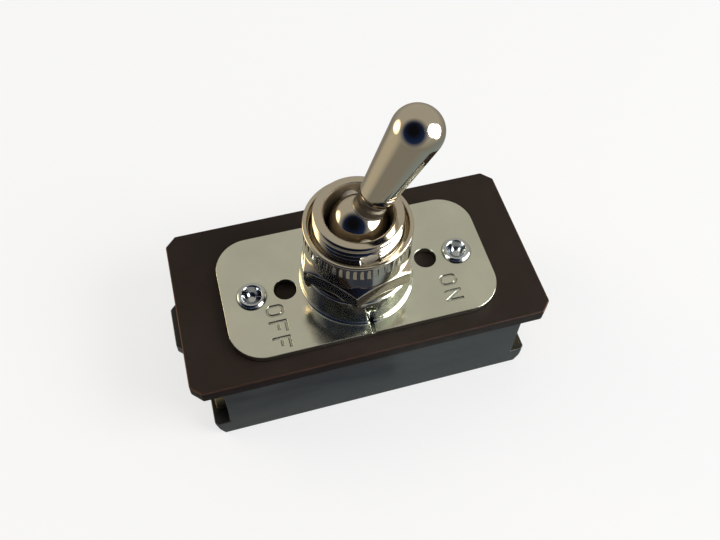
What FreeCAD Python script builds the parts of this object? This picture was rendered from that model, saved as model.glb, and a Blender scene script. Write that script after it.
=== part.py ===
import FreeCAD, Part
import os
import re

import Sketcher

# Heavy-duty panel toggle switch, two poles, ON and OFF.
#
# Millimetres. The switch stands on the flat bottom of its moulded base, at z = 0, and the Z axis
# is the bushing's. X runs along the switch, towards ON, and the front of the switch is at -Y.
# The lever is drawn at ON, leaning towards +X, so each joint starts from that pose.

os.makedirs("parts", exist_ok=True)
doc = FreeCAD.newDocument("toggle_switch")
sheet = doc.addObject("Spreadsheet::Sheet", "Sizes")

# Each size that can be set by itself, with what it is. Every other size follows from these.
SIZES = [
    ("housing_length", 42.6, "moulded base, between its two end faces"),
    ("housing_width", 23.0, "moulded base, front to back"),
    ("housing_height", 13.3, "moulded base, from its bottom to the insulating plate"),
    ("housing_bevel", 0.6, "bevel on the two long top edges"),
    ("side_wall", 1.2, "wall of the base outside each pole's cavity"),
    ("floor_thickness", 3.6, "floor under the terminals"),
    ("end_wall", 3.8, "end wall between cavity and end face"),
    ("centre_well_length", 15.0, "well for the rocker between the two poles"),
    ("foot_reach", 2.2, "foot beyond each end face"),
    ("foot_height", 3.5, "height of the foot"),
    ("foot_corner", 0.5, "plan bevel of the foot's corners"),
    ("foot_bevel", 1.1, "bevel under each end of the foot, along X"),
    ("foot_bevel_height", 2.8, "height of the bevel under each end"),
    ("barrier_gap", 0.4, "end barrier from the terminal on each side of it"),
    ("tongue_reach", 5.0, "tongue on top of each barrier, beyond the end face"),
    ("tongue_corner", 1.2, "bevel of the tongue's corners"),
    ("tongue_thickness", 2.0, "tongue, along Z"),
    ("liner_length", 50.8, "insulating plate"),
    ("liner_width", 25.4, "insulating plate"),
    ("liner_thickness", 2.2, "insulating plate"),
    ("liner_corner", 1.5, "cut corner of the insulating plate"),
    ("liner_shift", 0.75, "insulating plate lies this far towards the back"),
    ("liner_slot_length", 12.6, "slot for the rocker"),
    ("liner_slot_width", 7.0, "slot for the rocker"),
    ("frame_length", 38.1, "plated steel frame"),
    ("frame_width", 19.05, "plated steel frame"),
    ("frame_thickness", 1.2, "plated steel frame"),
    ("frame_corner", 4.8, "corner radius of the frame"),
    ("boss_foot_radius", 7.85, "drawn boss at the frame's face"),
    ("boss_top_radius", 7.6, "drawn boss at its top"),
    ("boss_height", 4.8, "drawn boss above the frame's face"),
    ("boss_fillet", 0.45, "sweep at the foot of the boss"),
    ("mount_hole_spacing", 20.5, "two holes in the frame"),
    ("mount_hole_radius", 1.6, "two holes in the frame"),
    ("vent_radius", 0.8, "hole pierced in the front of the boss"),
    ("vent_drop", 1.8, "middle of that hole below the boss top"),
    ("crease_width", 0.6, "crease from that hole to the frame's edge"),
    ("crease_depth", 0.3, "crease from that hole to the frame's edge"),
    ("letter_height", 2.5, "stamped lettering, along X"),
    ("letter_width", 1.8, "stamped lettering, along Y"),
    ("letter_corner", 0.8, "outer corners of the O"),
    ("letter_stroke", 0.36, "stamped lettering"),
    ("letter_depth", 0.18, "stamped lettering"),
    ("letter_pitch", 2.45, "stamped lettering, from letter to letter"),
    ("letter_line", 12.3, "middle of each word from the Z axis, along X"),
    ("off_start", 2.95, "middle of the first letter of OFF in front of the Z axis"),
    ("on_start", 4.3, "middle of the first letter of ON in front of the Z axis"),
    ("rivet_spacing", 29.9, "two tubular rivets"),
    ("rivet_radius", 1.5, "rivet shank"),
    ("rivet_clearance", 0.05, "rivet shank in its holes"),
    ("rivet_head_radius", 2.6, "rivet head in the base"),
    ("rivet_head_height", 1.2, "rivet head in the base"),
    ("rivet_head_recess", 0.4, "rivet head above the bottom of the base"),
    ("rivet_head_clearance", 0.2, "around the rivet head in the base"),
    ("rivet_roll_radius", 2.05, "rolled end on the frame"),
    ("rivet_roll_height", 0.6, "rolled end on the frame"),
    ("rivet_bore_radius", 0.95, "tubular end"),
    ("rivet_bore_depth", 2.6, "tubular end"),
    ("bushing_radius", 5.95, "over the 15/32 inch thread"),
    ("bushing_rise", 10.25, "bushing above the boss"),
    ("bushing_bore_radius", 4.49, "mouth of the bushing"),
    ("bushing_straight", 4.75, "straight part of the bore"),
    ("bushing_foot_bore", 5.45, "bore at the foot, where the stem swings"),
    ("bushing_rim", 0.45, "rounding of the rim"),
    ("free_thread_rise", 0.15, "foot of the bushing's free thread above the ring nut"),
    ("thread_groove_width", 0.7, "groove below the free thread"),
    ("thread_groove_depth", 0.35, "groove below the free thread"),
    ("flange_radius", 6.3, "flange under the boss"),
    ("flange_thickness", 0.6, "flange under the boss"),
    ("bushing_clearance", 0.05, "bushing in the frame and in the nuts"),
    ("nut_gap", 0.05, "under each of the two nuts"),
    ("hex_flats", 14.2, "hexagon nut across its flats"),
    ("hex_height", 3.0, "hexagon nut"),
    ("hex_bevel", 0.7, "bevel on top of the hexagon nut"),
    ("hex_top_inset", 0.2, "top of that bevel inside the flats"),
    ("hex_turn", -15.3, "turn of the hexagon nut about Z, in degrees"),
    ("ring_radius", 7.25, "knurled ring nut"),
    ("ring_height", 4.95, "knurled ring nut"),
    ("ring_lead", 0.7, "lead-in bevel of the ring nut's thread"),
    ("ring_edge", 0.25, "bevel on the ring nut's outer edges"),
    ("knurl_count", 50, "slots around the ring nut"),
    ("knurl_width", 0.48, "slot across"),
    ("knurl_depth", 0.28, "slot into the rim"),
    ("knurl_height", 1.9, "slot along Z"),
    ("knurl_rim", 0.5, "plain rim above the slots"),
    ("pin_radius", 1.25, "cross pin that carries the lever"),
    ("pin_length", 11.2, "cross pin"),
    ("pin_drop", 2.55, "cross pin below the rim"),
    ("pin_seat_clearance", 0.02, "cross pin in the bushing"),
    ("pin_clearance", 0.05, "cross pin in the lever's ball"),
    ("lever_tilt", 22.5, "lever from upright, in degrees"),
    ("ball_radius", 3.85, "lever's ball"),
    ("neck_radius", 2.1, "collar above the ball"),
    ("neck_end", 4.7, "top of the collar from the pivot"),
    ("waist_radius", 1.8, "groove between collar and bat"),
    ("waist_length", 0.3, "groove between collar and bat"),
    ("tip_radius", 3.3, "round end of the bat"),
    ("tip_distance", 17.5, "middle of the round end from the pivot"),
    ("bat_taper", 5.0, "slope of the bat's side, in degrees"),
    ("bat_heel", 0.9, "rounding at the lower end of the bat"),
    ("stem_radius", 1.6, "stem below the ball"),
    ("stem_length", 8.0, "end of the stem from the pivot"),
    ("spring_bore_radius", 1.0, "bore of the stem"),
    ("spring_bore_start", 3.0, "top of that bore from the pivot"),
    ("plunger_clearance", 0.05, "plunger in the stem"),
    ("plunger_start", 5.9, "top of the plunger from the pivot"),
    ("plunger_shoulder", 9.2, "shoulder of the plunger from the pivot"),
    ("plunger_head_radius", 1.2, "head and round tip of the plunger"),
    ("plunger_tip", 13.0, "middle of the round tip from the pivot"),
    ("spring_wire", 0.36, "diameter of the spring's wire"),
    ("spring_turns", 5, "turns of the spring"),
    ("spring_clearance", 0.08, "spring at its two seats and in the bore"),
    ("rocker_height", 8.7, "rocker's pivot above the bottom of the base"),
    ("rocker_tilt", 8.0, "rocker from level, in degrees"),
    ("cradle_half", 4.3, "half length of the rocker's cradle"),
    ("cradle_gap", 0.45, "middle of the cradle below the plunger of an upright lever"),
    ("cradle_flat", 0.5, "half length of the cradle's flat middle"),
    ("cradle_skirt", 0.5, "outer edge of the cradle, from its lower corner up to the floor's level"),
    ("cradle_rise", 24.0, "slope of the cradle's two sides, in degrees"),
    ("yoke_half_length", 3.1, "rocker's block and arms, along X"),
    ("yoke_half_width", 2.8, "rocker's block, along Y"),
    ("yoke_headroom", 1.6, "top of the arms below the insulating plate"),
    ("yoke_arm_drop", 0.25, "lips of the arms above the pivot"),
    ("yoke_lip", 0.6, "lip outside each blade"),
    ("pole_inset", 4.6, "middle of each pole from the front or back of the base"),
    ("strap_width", 5.0, "terminal strap"),
    ("strap_thickness", 1.4, "terminal strap"),
    ("strap_clearance", 0.1, "terminal in the slots of the base"),
    ("strap_margin", 0.8, "strap past the contact or the fulcrum that it carries"),
    ("terminal_width", 5.0, "upright plate of the terminal"),
    ("fulcrum_radius", 0.7, "round top of the fulcrum"),
    ("fulcrum_clearance", 0.1, "fulcrum in the blade's groove"),
    ("blade_width", 4.4, "contact blade"),
    ("blade_thickness", 1.3, "contact blade"),
    ("blade_long_arm", 14.0, "blade from pivot to its contact end"),
    ("blade_short_arm", 9.0, "blade from pivot to its free end"),
    ("blade_clearance", 0.03, "blade in the yoke"),
    ("contact_distance", 12.0, "contacts from the pivot"),
    ("contact_radius", 1.6, "contacts"),
    ("contact_height", 0.9, "contacts"),
    ("contact_crown", 0.35, "bevel around each contact's face"),
    ("screw_height", 8.4, "terminal screws above the bottom of the base"),
    ("screw_radius", 1.72, "terminal screw, over its thread"),
    ("screw_clearance", 0.05, "terminal screw in the terminal"),
    ("screw_length", 4.2, "terminal screw under its head"),
    ("screw_point", 0.4, "bevel at the end of the terminal screw"),
    ("screw_head_radius", 2.4, "binding head"),
    ("screw_head_height", 1.8, "binding head"),
    ("screw_head_edge", 0.5, "bevel around the binding head"),
    ("screw_slot_width", 0.8, "slot of the head"),
    ("screw_slot_depth", 0.8, "slot of the head"),
]
for row, (alias, value, note) in enumerate(SIZES, start=1):
    sheet.set("A%d" % row, note)
    sheet.set("B%d" % row, str(value))
    sheet.setAlias("B%d" % row, alias)
doc.recompute()
ALIASES = {alias for alias, value, note in SIZES}

# Heights and places that several pieces share, as expressions of the sizes.
LINER_TOP = "(housing_height + liner_thickness)"
FRAME_TOP = "(housing_height + liner_thickness + frame_thickness)"
BOSS_TOP = "(housing_height + liner_thickness + frame_thickness + boss_height)"
BOSS_ROOF = "(housing_height + liner_thickness + boss_height)"
RIM_TOP = "(housing_height + liner_thickness + frame_thickness + boss_height + bushing_rise)"
PIVOT_HEIGHT = "(" + RIM_TOP + " - pin_drop)"
HEX_FOOT = "(" + BOSS_TOP + " + nut_gap)"
HEX_TOP = "(" + HEX_FOOT + " + hex_height)"
RING_FOOT = "(" + HEX_TOP + " + nut_gap)"
RING_TOP = "(" + RING_FOOT + " + ring_height)"
FREE_THREAD = "(" + RING_TOP + " + free_thread_rise)"
CRADLE_FLOOR = "(" + PIVOT_HEIGHT + " - plunger_tip - plunger_head_radius - cradle_gap)"
POLE = "(housing_width / 2 - pole_inset)"
BARRIER_SIDE = "(" + POLE + " - terminal_width / 2 - barrier_gap)"
STRAP_TOP = "(floor_thickness + strap_thickness)"
END_FACE = "(housing_length / 2)"
UPRIGHT_FACE = "(housing_length / 2 + strap_clearance + strap_thickness)"

# How far a cutting tool runs past the faces that it cuts.
CUT_MARGIN = "1"

ACROSS = FreeCAD.Vector(0, 1, 0)
TURNS = {
    "z": FreeCAD.Rotation(),
    "x": FreeCAD.Rotation(FreeCAD.Vector(0, 1, 0), 90),
    "y": FreeCAD.Rotation(FreeCAD.Vector(1, 0, 0), -90),
}
nodes = []


def ex(text):
    """An expression in which each size's name points at its cell of the sheet."""
    def cell(match):
        word = match.group(0)
        return "Sizes." + word if word in ALIASES else word

    return re.sub(r"\b[a-z]\w*\b", cell, text)


def number(text):
    """The value of an expression of the sizes."""
    return float(sheet.evalExpression(ex(text)))


def place(obj, x="0", y="0", z="0"):
    """Ties an object's place to expressions of the sizes."""
    for axis, text in (("x", x), ("y", y), ("z", z)):
        obj.setExpression("Placement.Base." + axis, ex(text))
    return obj


def node(obj, name):
    """Keeps an object as one of the switch's pieces."""
    obj.Label = name
    nodes.append(obj)
    return obj


def block(name, x, y, z):
    """A box between a low and a high value on each axis."""
    obj = doc.addObject("Part::Box", name)
    for size, (low, high) in zip(("Length", "Width", "Height"), (x, y, z)):
        obj.setExpression(size, ex("(%s) - (%s)" % (high, low)))
    return place(obj, x[0], y[0], z[0])


def both(half, middle="0"):
    """A span that reaches as far to each side of its middle."""
    return ("%s - (%s)" % (middle, half), "%s + %s" % (middle, half))


def rod(name, radius, length, axis="z", x="0", y="0", z="0"):
    """A round bar that starts at a point and runs along an axis."""
    obj = doc.addObject("Part::Cylinder", name)
    obj.setExpression("Radius", ex(radius))
    obj.setExpression("Height", ex(length))
    obj.Placement = FreeCAD.Placement(FreeCAD.Vector(), TURNS[axis])
    return place(obj, x, y, z)


def fuse(name, pieces):
    obj = doc.addObject("Part::MultiFuse", name)
    obj.Shapes = pieces
    obj.Refine = True
    return obj


def cut(name, base, tools):
    tool = tools[0] if len(tools) == 1 else fuse(name + "_tools", tools)
    obj = doc.addObject("Part::Cut", name)
    obj.Base = base
    obj.Tool = tool
    return obj


def plane_of(body, role):
    return [feature for feature in body.Origin.OriginFeatures if feature.Role == role][0]


def outline(body, name, role, steps, height="0"):
    """A closed outline on one of the body's planes.

    Each step is a point (across, along). A step with two more values is the end of an arc
    about the point that they give.
    """
    sketch = body.newObject("Sketcher::SketchObject", name)
    sketch.AttachmentSupport = [(plane_of(body, role), "")]
    sketch.MapMode = "FlatFace"
    sketch.setExpression("AttachmentOffset.Base.z", ex(height))
    points = [FreeCAD.Vector(number(step[0]), number(step[1]), 0) for step in steps]
    for index, step in enumerate(steps):
        start, end = points[index - 1], points[index]
        if len(step) == 2:
            sketch.addGeometry(Part.LineSegment(start, end))
            continue
        centre = FreeCAD.Vector(number(step[2]), number(step[3]), 0)
        chord = (start + end) / 2 - centre
        middle = centre + chord / chord.Length * (start - centre).Length
        sketch.addGeometry(Part.Arc(start, middle, end))
    for index, step in enumerate(steps):
        following = (index + 1) % len(steps)
        end_side = nearest_end(sketch, index, points[index])
        start_side = nearest_end(sketch, following, points[index])
        sketch.addConstraint(Sketcher.Constraint("Coincident", index, end_side, following, start_side))
        pin_point(sketch, index, end_side, step)
        if len(step) == 4:
            radius = "sqrt(((%s) - (%s))^2 + ((%s) - (%s))^2)" % (step[0], step[2], step[1], step[3])
            made = sketch.addConstraint(Sketcher.Constraint("Radius", index, number(radius)))
            sketch.setExpression("Constraints[%d]" % made, ex(radius))
    return sketch


def nearest_end(sketch, index, point):
    """Which end of a line or arc, 1 or 2, lies on a point."""
    near = [(sketch.getPoint(index, side) - point).Length for side in (1, 2)]
    return 1 if near[0] < near[1] else 2


def pin_point(sketch, index, side, step):
    """Ties one end of a line or arc to its two values."""
    for kind, text, line in (("DistanceX", step[0], -2), ("DistanceY", step[1], -1)):
        if text == "0":
            sketch.addConstraint(Sketcher.Constraint("PointOnObject", index, side, line))
            continue
        made = sketch.addConstraint(Sketcher.Constraint(kind, -1, 1, index, side, number(text)))
        sketch.setExpression("Constraints[%d]" % made, ex(text))


def padded(name, role, steps, length, height="0", midplane=False):
    """A plate or bar with a straight-sided outline."""
    body = doc.addObject("PartDesign::Body", name)
    sketch = outline(body, name + "_outline", role, steps, height)
    pad = body.newObject("PartDesign::Pad", name + "_pad")
    pad.Profile = sketch
    pad.setExpression("Length", ex(length))
    pad.Midplane = midplane
    return body


def turned(name, steps):
    """A piece turned about the Z axis, from its half section of radius and height."""
    body = doc.addObject("PartDesign::Body", name)
    sketch = outline(body, name + "_section", "XZ_Plane", steps)
    turn = body.newObject("PartDesign::Revolution", name + "_turn")
    turn.Profile = sketch
    turn.ReferenceAxis = (sketch, ["V_Axis"])
    turn.Angle = 360
    return body


def base_housing():
    """Moulded base: a block with a foot, an end barrier with a tongue, and one well for each pole."""
    core = padded("housing_core", "YZ_Plane", [
        ("-housing_width / 2", "0"),
        ("housing_width / 2", "0"),
        ("housing_width / 2", "housing_height - housing_bevel"),
        ("housing_width / 2 - housing_bevel", "housing_height"),
        ("-housing_width / 2 + housing_bevel", "housing_height"),
        ("-housing_width / 2", "housing_height - housing_bevel"),
    ], "housing_length", midplane=True)
    reach = END_FACE + " + foot_reach"
    foot = padded("housing_foot", "XY_Plane", eight_corners(reach, "housing_width / 2", "foot_corner"),
                  "foot_height")
    barrier = block("housing_barrier", both(reach), both(BARRIER_SIDE), ("foot_height", "housing_height"))
    tongue = padded("housing_tongue", "XY_Plane",
                    eight_corners(END_FACE + " + tongue_reach", BARRIER_SIDE, "tongue_corner"),
                    "tongue_thickness", height="housing_height - tongue_thickness")
    solid = fuse("housing_solid", [core, foot, barrier, tongue])
    wells = []
    for side, sign in (("front", "-"), ("back", "")):
        inner, outer = sign + BARRIER_SIDE, sign + "(housing_width / 2 - side_wall)"
        well = (outer, inner) if sign else (inner, outer)
        wells.append(block("pole_well_" + side, both(END_FACE + " - end_wall"), well,
                           ("floor_thickness", "housing_height")))
        slot = both("strap_width / 2 + strap_clearance", sign + POLE)
        wells.append(block("strap_slot_" + side, both(END_FACE), slot, ("floor_thickness", "housing_height")))
    wells.append(block("centre_well", both("centre_well_length / 2"), both(BARRIER_SIDE),
                       ("floor_thickness", "housing_height")))
    for end, sign in (("off_end", "-"), ("on_end", "")):
        wells.append(foot_bevel(end, sign))
        x = sign + "rivet_spacing / 2"
        wells.append(rod("housing_rivet_hole_" + end, "rivet_radius + rivet_clearance",
                         "housing_height", x=x))
        wells.append(rod("housing_head_recess_" + end, "rivet_head_radius + rivet_head_clearance",
                         "rivet_head_recess + rivet_head_height", x=x))
    node(cut("housing", solid, wells), "base_housing")


def eight_corners(half_x, half_y, corner):
    """A rectangle about the Z axis with its four corners cut at 45 degrees."""
    steps = []
    for sx, sy in (("-", "-"), ("", "-"), ("", ""), ("-", "")):
        near_x = (sx + "(%s)" % half_x, sy + "(%s - %s)" % (half_y, corner))
        near_y = (sx + "(%s - %s)" % (half_x, corner), sy + "(%s)" % half_y)
        steps += [near_x, near_y] if sx == sy else [near_y, near_x]
    return steps


def round_corners(half_x, half_y, corner, x="0", y="0"):
    """A rectangle about a point with its four corners rounded."""
    steps = []
    for sx, sy in (("-", "-"), ("+", "-"), ("+", "+"), ("-", "+")):
        side_x, side_y = "%s %s (%s)" % (x, sx, half_x), "%s %s (%s)" % (y, sy, half_y)
        in_x = "%s %s (%s - (%s))" % (x, sx, half_x, corner)
        in_y = "%s %s (%s - (%s))" % (y, sy, half_y, corner)
        first, last = ((side_x, in_y), (in_x, side_y)) if sx == sy else ((in_x, side_y), (side_x, in_y))
        steps += [first, last + (in_x, in_y)]
    return steps


def foot_bevel(end, sign):
    """The slope that lifts the foot's end off the floor."""
    outer = sign + "(%s + foot_reach)" % END_FACE
    inner = sign + "(%s + foot_reach - foot_bevel)" % END_FACE
    return padded("foot_bevel_" + end, "XZ_Plane", [(inner, "0"), (outer, "0"), (outer, "foot_bevel_height")],
                  "housing_width", midplane=True)


def insulating_plate():
    """Brown laminate plate with cut corners, a rivet hole at each end and a slot for the rocker."""
    steps = [(x, "(%s) + liner_shift" % y)
             for x, y in eight_corners("liner_length / 2", "liner_width / 2", "liner_corner")]
    plate = padded("liner_plate", "XY_Plane", steps, "liner_thickness", height="housing_height")
    holes = [block("liner_slot", both("liner_slot_length / 2"), both("liner_slot_width / 2"),
                   ("housing_height", LINER_TOP))]
    for end, sign in (("off_end", "-"), ("on_end", "")):
        holes.append(rod("liner_rivet_hole_" + end, "rivet_radius + rivet_clearance", "liner_thickness",
                         x=sign + "rivet_spacing / 2", z="housing_height"))
    node(cut("liner", plate, holes), "insulating_plate")


def frame_plate():
    """Pressed steel frame: a rounded plate with a drawn boss, four holes, a vent and lettering."""
    steps = round_corners("frame_length / 2", "frame_width / 2", "frame_corner")
    flat = padded("frame_flat", "XY_Plane", steps, "frame_thickness", height=LINER_TOP)
    boss = turned("frame_boss", [
        ("0", FRAME_TOP + " - frame_thickness / 2"),
        ("boss_foot_radius + boss_fillet", FRAME_TOP + " - frame_thickness / 2"),
        ("boss_foot_radius + boss_fillet", FRAME_TOP),
        ("boss_foot_radius", FRAME_TOP + " + boss_fillet", "boss_foot_radius + boss_fillet",
         FRAME_TOP + " + boss_fillet"),
        ("boss_top_radius", BOSS_TOP + " - boss_fillet / 2"),
        ("boss_top_radius - boss_fillet / 2", BOSS_TOP),
        ("0", BOSS_TOP),
    ])
    hollow = turned("frame_hollow", [
        ("0", LINER_TOP),
        ("boss_foot_radius - frame_thickness", LINER_TOP),
        ("boss_top_radius - frame_thickness", BOSS_ROOF),
        ("0", BOSS_ROOF),
    ])
    mouth = rod("frame_bushing_hole", "bushing_radius + bushing_clearance", "frame_thickness", z=BOSS_ROOF)
    holes = [hollow, mouth]
    for end, sign in (("off_end", "-"), ("on_end", "")):
        holes.append(rod("frame_mount_hole_" + end, "mount_hole_radius", "frame_thickness",
                         x=sign + "mount_hole_spacing / 2", z=LINER_TOP))
        holes.append(rod("frame_rivet_hole_" + end, "rivet_radius + rivet_clearance", "frame_thickness",
                         x=sign + "rivet_spacing / 2", z=LINER_TOP))
    holes.append(rod("frame_vent", "vent_radius", "boss_foot_radius + boss_fillet - bushing_radius", axis="y",
                     y="-(boss_foot_radius + boss_fillet)", z=BOSS_TOP + " - vent_drop"))
    holes.append(block("frame_crease_wall", both("crease_width / 2"),
                       ("-(frame_width / 2)", "-(boss_foot_radius - crease_depth)"),
                       (FRAME_TOP + " - crease_depth", BOSS_TOP + " - vent_drop")))
    holes += lettering()
    node(cut("frame", fuse("frame_solid", [flat, boss]), holes), "frame_plate")


def stroke(name, steps):
    """One stroke of a letter, sunk into the frame's face."""
    return padded(name, "XY_Plane", steps, "2 * letter_depth", height=FRAME_TOP + " - letter_depth")


def bar(name, x, y):
    """A straight stroke between a low and a high value on each axis."""
    return stroke(name, [(x[0], y[0]), (x[1], y[0]), (x[1], y[1]), (x[0], y[1])])


def lettering():
    """OFF and ON, whose letters stand with their tops towards +X and follow each other along -Y."""
    strokes = []
    for word, sign in (("off", "-"), ("on", "")):
        for index, letter in enumerate(word):
            centre_x = sign + "letter_line"
            centre_y = "-(%s_start + %d * letter_pitch)" % (word, index)
            strokes += letter_strokes("letter_%s_%d" % (word, index), letter, centre_x, centre_y)
    return strokes


def letter_strokes(name, letter, x, y):
    """The strokes of one capital letter, whose left side is towards +Y."""
    if letter == "o":
        rings = []
        for edge, inset in (("outer", "0"), ("inner", "letter_stroke")):
            steps = round_corners("letter_height / 2 - " + inset, "letter_width / 2 - " + inset,
                                  "letter_corner - " + inset, x, y)
            rings.append(stroke("%s_%s" % (name, edge), steps))
        return [cut(name + "_ring", rings[0], rings[1:])]
    low, high = x + " - letter_height / 2", x + " + letter_height / 2"
    left, right = y + " + letter_width / 2", y + " - letter_width / 2"
    stem = bar(name + "_stem", (low, high), (left + " - letter_stroke", left))
    if letter == "f":
        top = bar(name + "_top", (high + " - letter_stroke", high), (right, left))
        middle = bar(name + "_middle", (x + " - letter_stroke / 2", x + " + letter_stroke / 2"),
                     (right + " + letter_stroke", left))
        return [stem, top, middle]
    far = bar(name + "_far", (low, high), (right, right + " + letter_stroke"))
    slant = stroke(name + "_slant", [
        (high, left + " - letter_stroke"),
        (high, left),
        (low, right + " + letter_stroke"),
        (low, right),
    ])
    return [stem, far, slant]


def bushing():
    """Threaded bushing with a flange under the boss and a groove below its free thread."""
    body = turned("bushing_barrel", [
        ("bushing_bore_radius", RIM_TOP + " - bushing_straight"),
        ("bushing_foot_bore", BOSS_ROOF + " - flange_thickness"),
        ("flange_radius", BOSS_ROOF + " - flange_thickness"),
        ("flange_radius", BOSS_ROOF),
        ("bushing_radius", BOSS_ROOF),
        ("bushing_radius", FREE_THREAD + " - thread_groove_width"),
        ("bushing_radius - thread_groove_depth", FREE_THREAD + " - thread_groove_width"),
        ("bushing_radius - thread_groove_depth", FREE_THREAD),
        ("bushing_radius", FREE_THREAD),
        ("bushing_radius", RIM_TOP + " - bushing_rim"),
        ("bushing_radius - bushing_rim", RIM_TOP, "bushing_radius - bushing_rim", RIM_TOP + " - bushing_rim"),
        ("bushing_bore_radius + bushing_rim", RIM_TOP),
        ("bushing_bore_radius", RIM_TOP + " - bushing_rim", "bushing_bore_radius + bushing_rim",
         RIM_TOP + " - bushing_rim"),
    ])
    past = "(bushing_radius + %s)" % CUT_MARGIN
    hole = rod("bushing_pin_hole", "pin_radius + pin_seat_clearance", "2 * " + past, axis="y", y="-" + past,
               z=PIVOT_HEIGHT)
    node(cut("bushing_drilled", body, [hole]), "bushing")


def pivot_pin():
    """Cross pin through the bushing and the ball."""
    node(rod("pin", "pin_radius", "pin_length", axis="y", y="-pin_length / 2", z=PIVOT_HEIGHT), "pivot_pin")


def tubular_rivets():
    """Two semi-tubular rivets that hold frame, plate and base together, rolled over on the frame."""
    seat = "(rivet_head_recess + rivet_head_height)"
    top = "(%s + rivet_roll_height)" % FRAME_TOP
    made = []
    for end, sign in (("off_end", "-"), ("on_end", "")):
        body = turned("rivet_" + end, [
            ("0", "rivet_head_recess"),
            ("rivet_head_radius", "rivet_head_recess"),
            ("rivet_head_radius", seat),
            ("rivet_radius", seat),
            ("rivet_radius", FRAME_TOP),
            ("rivet_roll_radius", FRAME_TOP),
            ("rivet_roll_radius", FRAME_TOP + " + rivet_roll_height / 3"),
            ("rivet_radius + rivet_clearance", top),
            ("rivet_bore_radius", FRAME_TOP),
            ("rivet_bore_radius", top + " - rivet_bore_depth"),
            ("0", top + " - rivet_bore_depth"),
        ])
        made.append(place(body, x=sign + "rivet_spacing / 2"))
    pair = doc.addObject("Part::Compound", "rivet_pair")
    pair.Links = made
    node(pair, "tubular_rivets")


def hex_nut():
    """Backing nut on the boss, bevelled on top."""
    across = "(hex_flats / 2 / cos(30))"
    corners = [("%s * cos(%d + hex_turn)" % (across, angle), "%s * sin(%d + hex_turn)" % (across, angle))
               for angle in range(30, 390, 60)]
    prism = padded("hex_prism", "XY_Plane", corners, "hex_height", height=HEX_FOOT)
    cone = turned("hex_cone", [
        ("0", HEX_FOOT),
        (across, HEX_FOOT),
        (across, HEX_TOP + " - hex_bevel"),
        ("hex_flats / 2 - hex_top_inset", HEX_TOP),
        ("0", HEX_TOP),
    ])
    bevelled = doc.addObject("Part::MultiCommon", "hex_bevelled")
    bevelled.Shapes = [prism, cone]
    bore = rod("hex_bore", "bushing_radius + bushing_clearance", "hex_height", z=HEX_FOOT)
    node(cut("hex", bevelled, [bore]), "hex_nut")


def ring_nut():
    """Round mounting nut with square slots around its upper half."""
    body = turned("ring_blank", [
        ("bushing_radius + bushing_clearance", RING_FOOT),
        ("ring_radius - ring_edge", RING_FOOT),
        ("ring_radius", RING_FOOT + " + ring_edge"),
        ("ring_radius", RING_TOP + " - ring_edge"),
        ("ring_radius - ring_edge", RING_TOP),
        ("bushing_radius + bushing_clearance + ring_lead", RING_TOP),
        ("bushing_radius + bushing_clearance", RING_TOP + " - ring_lead"),
    ])
    slot = outline(body, "ring_slot_outline", "XY_Plane", [
        ("ring_radius - knurl_depth", "-knurl_width / 2"),
        ("ring_radius + knurl_depth", "-knurl_width / 2"),
        ("ring_radius + knurl_depth", "knurl_width / 2"),
        ("ring_radius - knurl_depth", "knurl_width / 2"),
    ], height=RING_TOP + " - knurl_rim - knurl_height")
    doc.recompute()
    blank_volume = body.Shape.Volume
    pocket = body.newObject("PartDesign::Pocket", "ring_slot")
    pocket.Profile = slot
    pocket.Reversed = True
    pocket.setExpression("Length", ex("knurl_height"))
    pattern = body.newObject("PartDesign::PolarPattern", "ring_slots")
    pattern.Originals = [pocket]
    pattern.Axis = (slot, ["N_Axis"])
    pattern.Angle = 360
    pattern.setExpression("Occurrences", ex("knurl_count"))
    body.Tip = pattern
    doc.recompute()
    if body.Shape.Volume >= blank_volume:
        raise RuntimeError("The slots take nothing off the ring nut")
    node(body, "ring_nut")


def lever_placement():
    """The lever's own frame: the pivot is its origin, and it leans towards ON."""
    return FreeCAD.Placement(FreeCAD.Vector(0, 0, number(PIVOT_HEIGHT)),
                             FreeCAD.Rotation(ACROSS, number("lever_tilt")))


def lever():
    """Bat, collar, ball and drilled stem, turned in one piece."""
    side_x = "(tip_radius * cos(bat_taper))"
    side_z = "(tip_distance - tip_radius * sin(bat_taper))"
    heel_z = "(neck_end + waist_length + bat_heel)"
    heel_x = "(%s - (%s - %s) * tan(bat_taper))" % (side_x, side_z, heel_z)
    body = turned("lever_turned", [
        ("spring_bore_radius", "-stem_length"),
        ("stem_radius", "-stem_length"),
        ("stem_radius", "-sqrt(ball_radius^2 - stem_radius^2)"),
        ("ball_radius", "0", "0", "0"),
        ("neck_radius", "sqrt(ball_radius^2 - neck_radius^2)", "0", "0"),
        ("neck_radius", "neck_end - (neck_radius - waist_radius)"),
        ("waist_radius", "neck_end"),
        ("waist_radius", "neck_end + waist_length"),
        (heel_x, heel_z),
        (side_x, side_z),
        ("0", "tip_distance + tip_radius", "0", "tip_distance"),
        ("0", "-spring_bore_start"),
        ("spring_bore_radius", "-spring_bore_start"),
    ])
    past = "(ball_radius + %s)" % CUT_MARGIN
    hole = rod("lever_pin_hole", "pin_radius + pin_clearance", "2 * " + past, axis="y", y="-" + past)
    made = cut("lever_drilled", body, [hole])
    made.Placement = lever_placement()
    node(made, "lever")


def plunger():
    """Sprung plunger in the stem, whose round tip rides in the rocker's cradle."""
    shaft = "spring_bore_radius - plunger_clearance"
    body = turned("plunger_turned", [
        ("0", "-plunger_start"),
        (shaft, "-plunger_start"),
        (shaft, "-plunger_shoulder"),
        ("plunger_head_radius", "-plunger_shoulder"),
        ("plunger_head_radius", "-plunger_tip"),
        ("0", "-(plunger_tip + plunger_head_radius)", "0", "-plunger_tip"),
    ])
    body.Placement = lever_placement()
    node(body, "plunger")


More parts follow.
